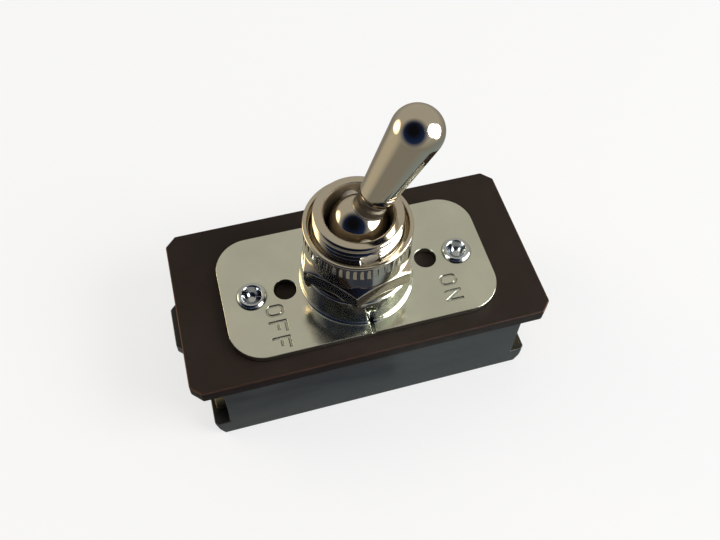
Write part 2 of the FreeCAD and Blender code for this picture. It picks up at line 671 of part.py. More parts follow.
def plunger_spring():
    """Compression spring between the end of the bore and the plunger."""
    reach = "(plunger_start - spring_bore_start - 2 * spring_clearance - spring_wire)"
    radius = "(spring_bore_radius - spring_clearance - spring_wire / 2)"
    start = "-(plunger_start - spring_clearance - spring_wire / 2)"
    helix = doc.addObject("Part::Helix", "spring_line")
    helix.setExpression("Height", ex(reach))
    helix.setExpression("Pitch", ex(reach + " / spring_turns"))
    helix.setExpression("Radius", ex(radius))
    place(helix, z=start)
    wire = doc.addObject("Part::Circle", "spring_wire_section")
    wire.setExpression("Radius", ex("spring_wire / 2"))
    wire.Placement = FreeCAD.Placement(FreeCAD.Vector(), FreeCAD.Rotation(FreeCAD.Vector(1, 0, 0), 90))
    place(wire, x=radius, z=start)
    coil = doc.addObject("Part::Sweep", "spring_coil")
    coil.Sections = [wire]
    coil.Spine = (helix, [])
    coil.Solid = True
    coil.Frenet = True
    coil.Placement = lever_placement()
    node(coil, "plunger_spring")


def rocker_placement():
    """The rocker lies over towards the closed contacts when the lever is at ON."""
    centre = FreeCAD.Vector(0, 0, number("rocker_height"))
    return FreeCAD.Placement(FreeCAD.Vector(), FreeCAD.Rotation(ACROSS, -number("rocker_tilt")), centre)


def rocker_yoke():
    """Moulded rocker: a cradle under the plunger, and an arm over each contact blade."""
    lip = CRADLE_FLOOR + " + (cradle_half - cradle_flat) * tan(cradle_rise)"
    foot = "rocker_height + yoke_arm_drop"
    waist = "housing_height - yoke_headroom"
    middle = padded("yoke_middle", "XZ_Plane", [
        ("-yoke_half_length", foot),
        ("yoke_half_length", foot),
        ("yoke_half_length", waist),
        ("cradle_half", CRADLE_FLOOR + " - cradle_skirt"),
        ("cradle_half", lip),
        ("cradle_flat", CRADLE_FLOOR),
        ("-cradle_flat", CRADLE_FLOOR),
        ("-cradle_half", lip),
        ("-cradle_half", CRADLE_FLOOR + " - cradle_skirt"),
        ("-yoke_half_length", waist),
    ], "2 * yoke_half_width", midplane=True)
    reach = POLE + " + blade_width / 2 + yoke_lip"
    arms = block("yoke_arms", both("yoke_half_length"), both(reach), (foot, waist))
    channels = []
    for side, sign in (("front", "-"), ("back", "")):
        across = both("blade_width / 2 + blade_clearance", sign + POLE)
        height = ("rocker_height - " + CUT_MARGIN, "rocker_height + blade_thickness + blade_clearance")
        channels.append(block("yoke_channel_" + side, both("yoke_half_length"), across, height))
    made = cut("yoke", fuse("yoke_solid", [middle, arms]), channels)
    made.Placement = rocker_placement()
    node(made, "rocker_yoke")


def contact_blade(side, sign):
    """Flat rocking contact, grooved underneath where it rides on the fulcrum."""
    across = both("blade_width / 2", sign + POLE)
    flat = block("blade_flat_" + side, ("-blade_long_arm", "blade_short_arm"), across,
                 ("rocker_height", "rocker_height + blade_thickness"))
    groove = rod("blade_groove_" + side, "fulcrum_radius + fulcrum_clearance", "blade_width", axis="y",
                 y=across[0], z="rocker_height")
    made = cut("blade_" + side, flat, [groove])
    made.Placement = rocker_placement()
    node(made, "contact_blade_" + side)


def contact_steps(seat, direction):
    """Half section of a contact button that stands on a face, up (1) or down (-1)."""
    rise = "%s + %d * contact_height" % (seat, direction)
    return [
        ("0", seat),
        ("contact_radius", seat),
        ("contact_radius", rise + " - %d * contact_crown" % direction),
        ("contact_radius - contact_crown", rise),
        ("0", rise),
    ]


def moving_contact(side, sign):
    """Contact button under the end of one blade."""
    body = turned("moving_button_" + side, contact_steps("rocker_height", -1))
    at = FreeCAD.Vector(number("-contact_distance"), number(sign + POLE), 0)
    body.Placement = rocker_placement().multiply(FreeCAD.Placement(at, FreeCAD.Rotation()))
    node(body, "moving_contact_" + side)


def fixed_contact(side, sign):
    """Contact button on one contact terminal."""
    body = turned("fixed_button_" + side, contact_steps(STRAP_TOP, 1))
    node(place(body, x="-contact_distance", y=sign + POLE), "fixed_contact_" + side)


def towards(end, near, far):
    """A span along X from near to far, on the side of one end of the switch."""
    return (near, far) if end == "" else ("-(%s)" % far, "-(%s)" % near)


def terminal(name, sign, end, inner_end):
    """Brass strap on the floor of the well, turned up outside the end wall to carry its screw."""
    upright = towards(end, END_FACE + " + strap_clearance", UPRIGHT_FACE)
    at = sign + POLE
    strap = block(name + "_strap", towards(end, inner_end, UPRIGHT_FACE), both("strap_width / 2", at),
                  ("floor_thickness", STRAP_TOP))
    plate = block(name + "_plate", upright, both("terminal_width / 2", at),
                  ("floor_thickness", "housing_height"))
    tapped = rod(name + "_tapped_hole", "screw_radius + screw_clearance", "strap_thickness", axis="x",
                 x=upright[0], y=at, z="screw_height")
    return cut(name, fuse(name + "_solid", [strap, plate]), [tapped])


def contact_terminal(side, sign):
    """Terminal at the OFF end, which carries the fixed contact."""
    made = terminal("contact_strap_" + side, sign, "-", "contact_distance - contact_radius - strap_margin")
    node(made, "contact_terminal_" + side)


def fulcrum_terminal(side, sign):
    """Terminal at the ON end, which runs under the blade and stands up as its fulcrum."""
    run = terminal("fulcrum_strap_" + side, sign, "", "-(fulcrum_radius + strap_margin)")
    across = both("blade_width / 2", sign + POLE)
    web = block("fulcrum_web_" + side, both("fulcrum_radius"), across, (STRAP_TOP, "rocker_height"))
    edge = rod("fulcrum_edge_" + side, "fulcrum_radius", "blade_width", axis="y", y=across[0],
               z="rocker_height")
    node(fuse("fulcrum_" + side, [run, web, edge]), "fulcrum_terminal_" + side)


def terminal_screw(name, sign, end):
    """Binding-head screw of one terminal, with its head outwards."""
    body = turned("screw_blank_" + name, [
        ("0", "-screw_length"),
        ("screw_radius - screw_point", "-screw_length"),
        ("screw_radius", "-screw_length + screw_point"),
        ("screw_radius", "0"),
        ("screw_head_radius", "0"),
        ("screw_head_radius", "screw_head_height - screw_head_edge"),
        ("screw_head_radius - screw_head_edge", "screw_head_height"),
        ("0", "screw_head_height"),
    ])
    slot = block("screw_slot_" + name, both("screw_head_radius"), both("screw_slot_width / 2"),
                 ("screw_head_height - screw_slot_depth", "screw_head_height"))
    made = cut("screw_" + name, body, [slot])
    turn = FreeCAD.Rotation(ACROSS, -90 if end == "-" else 90)
    made.Placement = FreeCAD.Placement(FreeCAD.Vector(), turn)
    seat = "(%s + screw_clearance)" % UPRIGHT_FACE
    return place(made, x=end + seat, y=sign + POLE, z="screw_height")


def terminal_screws():
    """The four equal screws of the terminals."""
    made = []
    for side, sign in (("front", "-"), ("back", "")):
        for end_name, end in (("off_end", "-"), ("on_end", "")):
            made.append(terminal_screw("%s_%s" % (side, end_name), sign, end))
    group = doc.addObject("Part::Compound", "screw_group")
    group.Links = made
    node(group, "terminal_screws")


base_housing()
insulating_plate()
frame_plate()
bushing()
pivot_pin()
tubular_rivets()
hex_nut()
ring_nut()
lever()
plunger()
plunger_spring()
rocker_yoke()
for side, sign in (("front", "-"), ("back", "")):
    contact_blade(side, sign)
    moving_contact(side, sign)
    fixed_contact(side, sign)
    contact_terminal(side, sign)
    fulcrum_terminal(side, sign)
terminal_screws()

doc.recompute()
failed = [obj.Name for obj in doc.Objects if "Invalid" in obj.State or "Error" in obj.State]
if failed:
    raise RuntimeError("These objects failed: " + ", ".join(failed))
for obj in nodes:
    if obj.Shape.isNull() or not obj.Shape.isValid():
        raise RuntimeError("This piece has no valid shape: " + obj.Label)
for obj in nodes:
    obj.Shape.exportStep("parts/%s.step" % obj.Label)
    box = obj.Shape.BoundBox
    print("%-26s %d solid(s) %8.1f mm3   x %.2f %.2f  y %.2f %.2f  z %.2f %.2f" % (
        obj.Label, len(obj.Shape.Solids), obj.Shape.Volume, box.XMin, box.XMax, box.YMin, box.YMax, box.ZMin,
        box.ZMax))
print(len(nodes), "pieces written")
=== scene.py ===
# %% [markdown]
# # A panel toggle switch
# This lesson dresses the CAD model of a heavy toggle switch in Blender. The switch has a nickel
# bat lever in a threaded bushing, two nuts, a plated steel frame on a brown laminate plate, and a
# dark moulded base with brass terminals. CAD gives the frame: every piece below takes its place
# from a CAD node's box or from the lever's pivot, so nothing has to be fitted by eye.

# %% Load the CAD frame
import math

import bmesh
import bpy
from mathutils import Euler, Matrix, Vector


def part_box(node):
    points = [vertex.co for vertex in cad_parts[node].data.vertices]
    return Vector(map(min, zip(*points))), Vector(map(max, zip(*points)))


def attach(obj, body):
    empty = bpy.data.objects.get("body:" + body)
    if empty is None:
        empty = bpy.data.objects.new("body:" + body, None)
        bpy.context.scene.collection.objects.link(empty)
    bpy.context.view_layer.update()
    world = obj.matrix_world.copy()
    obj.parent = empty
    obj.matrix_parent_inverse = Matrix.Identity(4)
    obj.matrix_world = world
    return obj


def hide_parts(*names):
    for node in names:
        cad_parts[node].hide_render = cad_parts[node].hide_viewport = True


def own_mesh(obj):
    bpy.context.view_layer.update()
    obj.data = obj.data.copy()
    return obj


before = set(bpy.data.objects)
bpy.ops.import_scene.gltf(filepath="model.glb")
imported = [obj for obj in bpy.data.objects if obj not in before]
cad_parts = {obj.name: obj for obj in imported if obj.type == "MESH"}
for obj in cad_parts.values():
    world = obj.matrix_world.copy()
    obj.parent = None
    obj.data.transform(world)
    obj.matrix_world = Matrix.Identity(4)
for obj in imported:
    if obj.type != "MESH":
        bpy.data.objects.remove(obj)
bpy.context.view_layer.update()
MM = 0.001

# %% [markdown]
# ## The camera
# The photograph looks down on the switch from the front left. A camera is placed by a location
# and by Euler angles, and its lens is given for a sensor 36 mm wide. The picture was cropped, so
# its middle isn't the lens's middle: a small vertical shift puts that right without a tilt.


# %% Camera
def placed(name, data):
    """A new object that shows this data, linked into the scene."""
    made = bpy.data.objects.new(name, data)
    bpy.context.scene.collection.objects.link(made)
    return made


CAMERA_PLACE = (-18.017, -58.003, 117.198)
CAMERA_ANGLES = (36.1945, -1.3728, -15.5011)
SENSOR_WIDTH, FOCAL_LENGTH, NEAR_LIMIT = 36.0, 41.396, 5
PICTURE_WIDTH, CROP_SHIFT = 720, -70

camera = placed("camera", bpy.data.cameras.new("camera"))
bpy.context.scene.camera = camera
camera.location = Vector(CAMERA_PLACE) * MM
camera.rotation_euler = Euler([math.radians(v) for v in CAMERA_ANGLES])
camera.data.sensor_width = SENSOR_WIDTH
camera.data.lens = FOCAL_LENGTH
camera.data.shift_y = CROP_SHIFT / PICTURE_WIDTH
camera.data.clip_start = NEAR_LIMIT * MM
print("camera", round((camera.location / MM).length), "mm from the middle of the base")

# %% [markdown]
# ## Node trees in one line
# A Blender material is a tree of nodes. Adding a node, setting its options and linking its inputs
# takes many lines by hand, so one helper does all three: an input that is another node's socket
# gets a link, and anything else is written as its value. Two more helpers blend colours and
# carry a value from one range to another, because every finish below needs both.


# %% Helpers for nodes
def fill(tree, socket, value):
    """Links a socket to the value if that is a socket too, and otherwise writes the value in it."""
    if isinstance(value, bpy.types.NodeSocket):
        tree.links.new(value, socket)
    else:
        socket.default_value = value


def add(tree, kind, inputs=None, **options):
    """Adds a shader node, sets its options, and links or fills its inputs."""
    made = tree.nodes.new("ShaderNode" + kind)
    for name, value in options.items():
        setattr(made, name, value)
    for name, value in (inputs or {}).items():
        fill(tree, made.inputs[name], value)
    return made


def blend_colour(tree, share, first, second):
    """A colour between two colours: the colour sockets of a Mix node are its seventh and eighth."""
    mixed = add(tree, "Mix", data_type="RGBA")
    for index, value in ((0, share), (6, first), (7, second)):
        fill(tree, mixed.inputs[index], value)
    return mixed.outputs[2]


def rescale(tree, value, from_low, from_high, to_low, to_high):
    """A value carried from one range to another, and held inside it."""
    return add(tree, "MapRange", {"Value": value, "From Min": from_low, "From Max": from_high,
                                  "To Min": to_low, "To Max": to_high}).outputs["Result"]


print("node helpers:", ", ".join(helper.__name__ for helper in (add, blend_colour, rescale)))

# %% [markdown]
# ## The studio
# The picture has a plain pale background and soft light. The world is pale wherever the camera,
# a mirror or glass sees it, and a quieter grey where it only lights things, so that white stays
# white and the object isn't washed out. Light Path tells those rays apart.


# %% World
def seen_share(tree):
    """1 for rays from the camera, from mirrors and through glass, 0 for rays that only light."""
    path = add(tree, "LightPath").outputs
    seen = path["Is Camera Ray"]
    for other in ("Is Glossy Ray", "Is Transmission Ray"):
        seen = add(tree, "Math", {0: seen, 1: path[other]}, operation="MAXIMUM").outputs[0]
    return seen


PALE = (0.93, 0.93, 0.93, 1.0)
AMBIENT = (0.62, 0.62, 0.62, 1.0)
world = bpy.data.worlds.new("studio")
bpy.context.scene.world = world
world.use_nodes = True
air = world.node_tree
air.nodes.clear()
sky = add(air, "Background", {"Color": blend_colour(air, seen_share(air), AMBIENT, PALE)})
add(air, "OutputWorld", {"Surface": sky.outputs[0]})
print("world of", len(air.nodes), "nodes")

# %% [markdown]
# ## The floor
# A real studio floor is a sheet of pale paper. Here it is one large square. It mixes plain paper,
# which takes the object's shadow, with a faint glow that the camera sees, which keeps the paper
# pale without more light on the object. Metal doesn't mirror it: the painted room below does
# that better.


# %% Floor
def sheet(name, corners, height):
    """A flat sheet with four corners at one height, all in millimetres."""
    mesh = bpy.data.meshes.new(name)
    mesh.from_pydata([(x * MM, y * MM, height * MM) for x, y in corners], [], [(0, 1, 2, 3)])
    return placed(name, mesh)


def bare_material(name):
    """A material whose node tree is still empty, and that tree."""
    material = bpy.data.materials.new(name)
    material.use_nodes = True
    material.node_tree.nodes.clear()
    return material, material.node_tree


FLOOR_HALF, FLOOR_DROP = 3000.0, 0.02
PAPER, GLOW_SHARE = (0.86, 0.86, 0.86, 1.0), 0.7
floor = sheet("floor", [(x * FLOOR_HALF, y * FLOOR_HALF) for x, y in ((-1, -1), (1, -1), (1, 1), (-1, 1))],
              -FLOOR_DROP)
paper, tree = bare_material("studio_paper")
share = add(tree, "Math", {0: seen_share(tree), 1: GLOW_SHARE}, operation="MULTIPLY").outputs[0]
matt = add(tree, "BsdfDiffuse", {"Color": PAPER}).outputs[0]
glow = add(tree, "Emission", {"Color": PALE, "Strength": 1.0}).outputs[0]
add(tree, "OutputMaterial", {"Surface": add(tree, "MixShader", {0: share, 1: matt, 2: glow}).outputs[0]})
floor.data.materials.append(paper)
floor.visible_glossy = False
print("floor", [round(side) for side in floor.dimensions[:2]], "m,", FLOOR_DROP, "mm under the base")

# %% [markdown]
# ## Lamps
# Two soft area lamps stand in for the window at the right and the warmer lamp at the left. Their
# power is low: together with the world they light a grey card about as bright as it is painted.
# Mirrors don't see them, because a bare square of light is a poor thing to find in polished metal.


# %% Lamps
def direction(azimuth, elevation):
    """The unit vector towards an azimuth and an elevation in degrees."""
    a, e = math.radians(azimuth), math.radians(elevation)
    return Vector((math.cos(a) * math.cos(e), math.sin(a) * math.cos(e), math.sin(e)))


LAMP_DISTANCE, LAMP_SIZE, LAMP_AIM = 0.5, 0.25, Vector((0, 0, 0.02))


def lamp(name, azimuth, elevation, power, colour):
    """A square area lamp that faces the switch, half a metre away."""
    data = bpy.data.lights.new(name, "AREA")
    data.size, data.energy, data.color = LAMP_SIZE, power, colour
    made = placed(name, data)
    out = direction(azimuth, elevation)
    made.location = out * LAMP_DISTANCE + LAMP_AIM
    made.rotation_euler = out.to_track_quat("Z", "Y").to_euler()
    made.visible_glossy = False
    print(name, power, "W from azimuth", azimuth, "and elevation", elevation)


lamp("window", -30, 40, 1.6, (1.0, 0.99, 0.97))
lamp("warm_lamp", 150, 35, 0.7, (1.0, 0.92, 0.78))

# %% [markdown]
# ## A room for the metal to mirror
# Polished nickel has hardly a colour of its own: it shows the room. A large ball around the
# scene, seen by mirror rays alone, is painted as that room: a tan grey wall, a darker table
# below, and soft dark and bright places. It belongs to the studio.


# %% Room
def mirrors_only(obj):
    """Hides an object from every ray but mirror rays."""
    for kind in ("camera", "diffuse", "transmission", "volume_scatter", "shadow"):
        setattr(obj, "visible_" + kind, False)


ROOM_RADIUS = 1.2
WALL, TABLE = (0.50, 0.47, 0.40, 1.0), (0.29, 0.27, 0.23, 1.0)
TABLE_BELOW, WALL_ABOVE = -0.45, 0.15
# azimuth, elevation, inner and outer half angle in degrees, colour
ROOM_PATCHES = [
    (-30, -60, 15, 45, (0.28, 0.33, 0.33, 1.0)),      # grey table in front, right
    (158, -22, 12, 34, (0.60, 0.54, 0.41, 1.0)),      # warm wall, low at the left
    (-128, 38, 40, 62, (0.012, 0.026, 0.080, 1.0)),   # blue sleeve of whoever stands in front
    (-136, 48, 16, 44, (0.006, 0.006, 0.008, 1.0)),   # black lens in front of it
    (150, 2, 12, 22, (4.4, 3.5, 2.1, 1.0)),           # warm lamp at the left
    (-34, 25, 20, 23, (12.0, 12.0, 11.5, 1.0)),       # upper pane of the window at the right
    (-22, 9, 19, 22, (12.0, 12.0, 11.5, 1.0)),        # lower pane of that window
    (52, -58, 4, 14, (0.75, 0.75, 0.68, 1.0)),        # pale paper behind the switch
]
room_mesh = bpy.data.meshes.new("room")
work = bmesh.new()
bmesh.ops.create_uvsphere(work, u_segments=64, v_segments=32, radius=ROOM_RADIUS)
work.to_mesh(room_mesh)
work.free()
room = placed("room", room_mesh)
mirrors_only(room)
plaster, tree = bare_material("room_paint")
spot = add(tree, "TexCoord").outputs["Object"]
where = add(tree, "VectorMath", {0: spot}, operation="NORMALIZE").outputs[0]
height = add(tree, "SeparateXYZ", {0: where}).outputs["Z"]
colour = blend_colour(tree, rescale(tree, height, TABLE_BELOW, WALL_ABOVE, 0.0, 1.0), TABLE, WALL)
for azimuth, elevation, inner, outer, paint in ROOM_PATCHES:
    near = add(tree, "VectorMath", {0: where, 1: direction(azimuth, elevation)},
               operation="DOT_PRODUCT").outputs["Value"]
    inside = rescale(tree, near, math.cos(math.radians(outer)), math.cos(math.radians(inner)), 0.0, 1.0)
    colour = blend_colour(tree, inside, colour, paint)
add(tree, "OutputMaterial", {"Surface": add(tree, "Emission", {"Color": colour}).outputs[0]})
room_mesh.materials.append(plaster)
print(len(ROOM_PATCHES), "painted places in the room")

# %% [markdown]
# ## A dark cloth in front
# Upright walls low on the switch mirror the table close in front of it. A dark cloth lay there, so
# the front of both nuts is dark. Like the room it shows in mirrors only.

# %% Cloth
CLOTH_CORNERS, CLOTH_HEIGHT = ((-30, -26.5), (6, -26.5), (4, -14), (-30, -14)), 0.5
cloth = sheet("cloth", CLOTH_CORNERS, CLOTH_HEIGHT)
mirrors_only(cloth)
weave, tree = bare_material("dark_cloth")
threads = add(tree, "TexNoise", {"Vector": add(tree, "TexCoord").outputs["Object"], "Scale": 60.0}).outputs[0]
tone = blend_colour(tree, threads, (0.02, 0.03, 0.06, 1.0), (0.08, 0.09, 0.11, 1.0))
add(tree, "OutputMaterial", {"Surface": add(tree, "Emission", {"Color": tone}).outputs[0]})
cloth.data.materials.append(weave)
print("cloth", [round(side / MM, 1) for side in cloth.dimensions[:2]], "mm")

# %% [markdown]
# ## What the finishes share
# A finish is one Principled shader whose colour, roughness and relief come from noise. The noise
# lives in the piece's own space, with its scale in features per metre, so a grain keeps its real
# size on every piece. The relief is a Bump node, which tilts the shading and not the mesh.


# %% Helpers for finishes
def new_finish(name):
    """An empty material, its tree and its main shader."""
    material = bpy.data.materials.new(name)
    material.use_nodes = True
    return material, material.node_tree, material.node_tree.nodes["Principled BSDF"]


def grain(tree, scale, detail=3.0, rough=0.5, stretch=None, spot=None):
    """Noise with a scale in features per metre; stretch gives each axis a scale of its own."""
    spot = spot or add(tree, "TexCoord").outputs["Object"]
    if stretch:
        spot = add(tree, "Mapping", {"Vector": spot, "Scale": stretch}).outputs[0]
    return add(tree, "TexNoise", {"Vector": spot, "Scale": scale, "Detail": detail,
                                  "Roughness": rough}).outputs[0]


def bumped(tree, shader, height, strength, distance=0.02 * MM, **inputs):
    """Turns a height into a fine relief on the shader."""
    relief = add(tree, "Bump", {"Height": height, "Strength": strength, "Distance": distance, **inputs})
    tree.links.new(relief.outputs[0], shader.inputs["Normal"])


def band(tree, value, low, high, soft):
    """1 between two values and 0 outside, with soft ends."""
    rise = rescale(tree, value, low, low + soft, 0.0, 1.0)
    fall = rescale(tree, value, high - soft, high, 1.0, 0.0)
    return add(tree, "Math", {0: rise, 1: fall}, operation="MULTIPLY").outputs[0]


print("finish helpers:", ", ".join(helper.__name__ for helper in (new_finish, grain, bumped, band)))

# %% [markdown]
# ## Nickel plating
# The lever, the bushing and both nuts are brass or steel under bright nickel. Nickel is a warm
# grey metal. Handling leaves faint smears, which change the roughness and hardly the colour, and
# the turning tool leaves rings that are much finer than a millimetre. Where the lever leaves the
# bushing, its neck is painted dark brown: painted shade from the bushing, with some grease. The
# bore was never polished.

# %% Nickel
PIVOT = Vector((0, 0, 29.2)) * MM
LEVER_TILT = math.radians(22.5)
WARM, COOL = (0.64, 0.57, 0.46, 1.0), (0.60, 0.56, 0.48, 1.0)
SMEARS, TOOL_RINGS = 260.0, (200.0, 200.0, 4200.0)
# the dark neck colour is painted shade where the lever enters the bushing, with some grease
NECK_SHADED, NECK_FADE, NECK_SHADE_AND_GREASE = (3.1 * MM, 5.6 * MM), 0.4 * MM, (0.07, 0.055, 0.035, 1.0)
BORE_DULL, BORE_FADE, BORE_STAIN = 4.62 * MM, 0.15 * MM, (0.26, 0.20, 0.13, 1.0)
ROUGHER_NECK_AND_BORE, METAL_NECK_AND_BORE = 0.36, 0.45


def nickel_finish(name, smooth, smeared, lean=0.0, pivot=(0, 0, 0), neck=None, bore=None):
    """Bright nickel with smears and turning rings round the piece's axis.

    The neck (two heights from the pivot) is painted dark as shade, with some grease, and inside the bore's
    radius the metal is dull.
    """
    material, tree, shader = new_finish(name)
    shader.inputs["Metallic"].default_value = 1.0
    spot = add(tree, "TexCoord").outputs["Object"]
    spot = add(tree, "VectorMath", {0: spot, 1: pivot}, operation="SUBTRACT").outputs[0]
    spot = add(tree, "Mapping", {"Vector": spot, "Rotation": (0.0, -lean, 0.0)}).outputs[0]
    apart = add(tree, "SeparateXYZ", {0: spot}).outputs
    smears = grain(tree, SMEARS, 4.0, 0.6, spot=spot)
    colour = blend_colour(tree, rescale(tree, smears, 0.35, 0.65, 0.0, 1.0), WARM, COOL)
    gloss = rescale(tree, smears, 0.35, 0.7, smooth, smeared)
    shaded_neck_and_dull_bore = None
    if neck:
        shaded_neck_and_dull_bore = band(tree, apart["Z"], *neck, NECK_FADE)
    if bore:
        flat = add(tree, "CombineXYZ", {0: apart["X"], 1: apart["Y"]}).outputs[0]
        radius = add(tree, "VectorMath", {0: flat}, operation="LENGTH").outputs["Value"]
        shaded_neck_and_dull_bore = rescale(tree, radius, bore, bore + BORE_FADE, 1.0, 0.0)
    if shaded_neck_and_dull_bore is not None:
        # on the neck this colour is painted shade with some grease, in the bore the dull metal's colour
        colour = blend_colour(tree, shaded_neck_and_dull_bore, colour, NECK_SHADE_AND_GREASE if neck else BORE_STAIN)
        rougher = rescale(tree, shaded_neck_and_dull_bore, 0.0, 1.0, 0.0, ROUGHER_NECK_AND_BORE)
        gloss = add(tree, "Math", {0: gloss, 1: rougher}, operation="ADD").outputs[0]
        tree.links.new(rescale(tree, shaded_neck_and_dull_bore, 0.0, 1.0, 1.0, METAL_NECK_AND_BORE), shader.inputs["Metallic"])
    tree.links.new(colour, shader.inputs["Base Color"])
    tree.links.new(gloss, shader.inputs["Roughness"])
    bumped(tree, shader, grain(tree, 1.0, 2.0, 0.5, TOOL_RINGS, spot), 0.02)
    return material


nickel = nickel_finish("bright_nickel", 0.06, 0.14)
lever_nickel = nickel_finish("lever_nickel", 0.05, 0.11, LEVER_TILT, PIVOT, neck=NECK_SHADED)
bushing_nickel = nickel_finish("bushing_nickel", 0.06, 0.14, bore=BORE_DULL)
print("nickel:", len(nickel.node_tree.nodes), "nodes,", len(lever_nickel.node_tree.nodes), "on the lever")

# %% [markdown]
# ## Plated steel
# The frame and the rivets are steel with a dull zinc coat. Such a coat is grey with a touch of
# yellow green, mottled in soft patches, and it blurs what it mirrors. Ambient occlusion darkens
# narrow corners such as the stamped letters, which is painted shade, and a Bevel node rounds the
# punched edges in the shading.

# %% Plated steel
PATCHES, FINE_GRAIN, TINT_CLOUDS, TINT_MOST = 110.0, 600.0, 90.0, 0.55
# the corner colour is painted shade, reaching as far as the occlusion looks
CORNER_SHADE, SHADE_REACH, EDGE_ROUNDING, SOFT_SAMPLES = (0.05, 0.05, 0.04, 1.0), 0.7 * MM, 0.13 * MM, 16


def plated_finish(name, dark, light, tint, smooth, rough):
    """Dull plating: mottled grey, a faint tint in patches, painted shade in corners and a fine grain."""
    material, tree, shader = new_finish(name)
    shader.inputs["Metallic"].default_value = 1.0
    patches = grain(tree, PATCHES, 3.0, 0.55)
    fine = grain(tree, FINE_GRAIN, 4.0, 0.6)
    base = blend_colour(tree, rescale(tree, patches, 0.35, 0.65, 0.0, 1.0), dark, light)
    clouds = rescale(tree, grain(tree, TINT_CLOUDS, 2.0), 0.5, 0.72, 0.0, TINT_MOST)
    tinted = blend_colour(tree, clouds, base, tint)
    open_air = add(tree, "AmbientOcclusion", {"Distance": SHADE_REACH}, samples=SOFT_SAMPLES).outputs["AO"]
    # ambient occlusion darkens narrow corners: painted shade
    painted_shade = rescale(tree, open_air, 0.38, 0.85, 1.0, 0.0)
    tree.links.new(blend_colour(tree, painted_shade, tinted, CORNER_SHADE), shader.inputs["Base Color"])
    tree.links.new(rescale(tree, fine, 0.3, 0.7, smooth, rough), shader.inputs["Roughness"])
    rounded = add(tree, "Bevel", {"Radius": EDGE_ROUNDING}, samples=SOFT_SAMPLES).outputs[0]
    bumped(tree, shader, fine, 0.02, Normal=rounded)
    return material


plating = plated_finish("dull_plating", (0.66, 0.69, 0.60, 1.0), (0.74, 0.76, 0.66, 1.0),
                        (0.75, 0.68, 0.60, 1.0), 0.12, 0.20)
rivet_plating = plated_finish("rivet_plating", (0.52, 0.56, 0.60, 1.0), (0.66, 0.69, 0.72, 1.0),
                              (0.56, 0.56, 0.54, 1.0), 0.12, 0.22)
print("plating:", len(plating.node_tree.nodes), "nodes")

# %% [markdown]
# ## Laminate
# The brown plate is paper laminate, punched from sheet: its faces are dark and slightly fibrous,
# and its cut edges show layers. Where an edge was eased, a redder rim is a painted highlight,
# brighter on the sides than at the front. The shader can tell these places apart by the direction
# in which a face looks.

# %% Laminate
FIBRES, CLOUDS, LAYERS = (500.0, 2200.0, 900.0), 120.0, (60.0, 60.0, 4200.0)
FACE_DARK, FACE_LIGHT = (0.009, 0.005, 0.003, 1.0), (0.017, 0.010, 0.007, 1.0)
FACE_CLOUD = (0.019, 0.012, 0.010, 1.0)
LAYER_DARK, LAYER_LIGHT = (0.005, 0.003, 0.002, 1.0), (0.012, 0.006, 0.004, 1.0)
# the eased rim gets a painted highlight, brighter on faces that look along X than at the front
RIM_HIGHLIGHT_FRONT, RIM_HIGHLIGHT_SIDES = (0.030, 0.013, 0.008, 1.0), (0.105, 0.038, 0.016, 1.0)


def laminate_finish(name):
    """Dark brown face with short fibres, darker layered edges, and a painted red highlight on the rim between
    them.
    """
    material, tree, shader = new_finish(name)
    fibres = grain(tree, 1.0, 4.0, 0.65, FIBRES)
    clouds = rescale(tree, grain(tree, CLOUDS, 3.0), 0.4, 0.7, 0.0, 0.5)
    face = blend_colour(tree, clouds, blend_colour(tree, fibres, FACE_DARK, FACE_LIGHT), FACE_CLOUD)
    edge = blend_colour(tree, grain(tree, 1.0, 2.0, 0.5, LAYERS), LAYER_DARK, LAYER_LIGHT)
    apart = add(tree, "SeparateXYZ", {0: add(tree, "NewGeometry").outputs["True Normal"]}).outputs
    sideways = add(tree, "Math", {0: apart["X"]}, operation="ABSOLUTE").outputs[0]
    # painted highlight on the rim, brighter where the face looks sideways
    rim_highlight = blend_colour(tree, rescale(tree, sideways, 0.2, 0.6, 0.0, 1.0), RIM_HIGHLIGHT_FRONT, RIM_HIGHLIGHT_SIDES)
    edge = blend_colour(tree, band(tree, apart["Z"], 0.15, 0.97, 0.05), edge, rim_highlight)
    upright = add(tree, "Math", {0: apart["Z"]}, operation="ABSOLUTE").outputs[0]
    tree.links.new(blend_colour(tree, rescale(tree, upright, 0.94, 0.99, 1.0, 0.0), face, edge),
                   shader.inputs["Base Color"])
    tree.links.new(rescale(tree, fibres, 0.3, 0.7, 0.42, 0.58), shader.inputs["Roughness"])
    shader.inputs["Specular IOR Level"].default_value = 0.22
    bumped(tree, shader, fibres, 0.18, 0.03 * MM)
    return material


laminate = laminate_finish("brown_laminate")
print("laminate:", len(laminate.node_tree.nodes), "nodes")

# %% [markdown]
# ## Mouldings
# The base and the rocker are glossy thermoset mouldings. The walls are grey, while ledges that
# face up are painted near black as painted shade, and faint flow marks run level along the walls.
# Both get their colour from noise at the scale of the real marks.

# %% Mouldings
FLOW_MARKS, SKIN_GRAIN = (90.0, 90.0, 320.0), 2600.0


